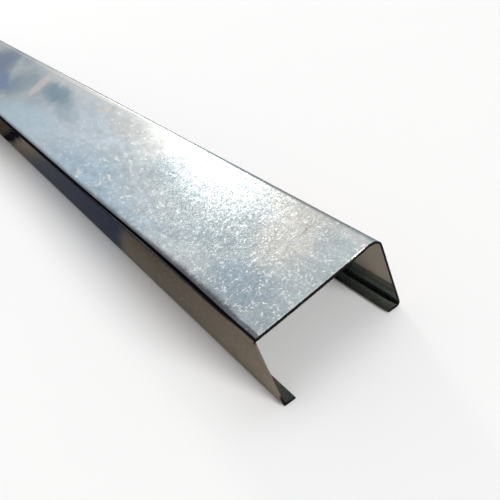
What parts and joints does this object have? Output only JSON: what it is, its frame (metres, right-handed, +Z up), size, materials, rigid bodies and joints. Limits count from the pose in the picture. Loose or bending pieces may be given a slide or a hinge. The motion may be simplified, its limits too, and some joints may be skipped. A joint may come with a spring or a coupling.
{
  "type": "steel stud",
  "caption": "Straight lipped C-section stud of thin galvanised sheet steel, with a plain flat web, equal flanges, inturned lips and square-cut ends, for framed partition walls.",
  "frame": {"origin": "middle of the stud's length and width, on the plane of the undersides of its lips", "axes": "+X along the stud, +Y across the web from one flange to the other, +Z up, out of the web's outer face"},
  "size_m": [2.4, 0.075, 0.045],
  "materials": {
    "galvanised_steel": "hot-dip galvanised, fine spangle, satin"
  },
  "bodies": {
    "root": {"c_stud": "galvanised_steel"}
  },
  "joints": []
}
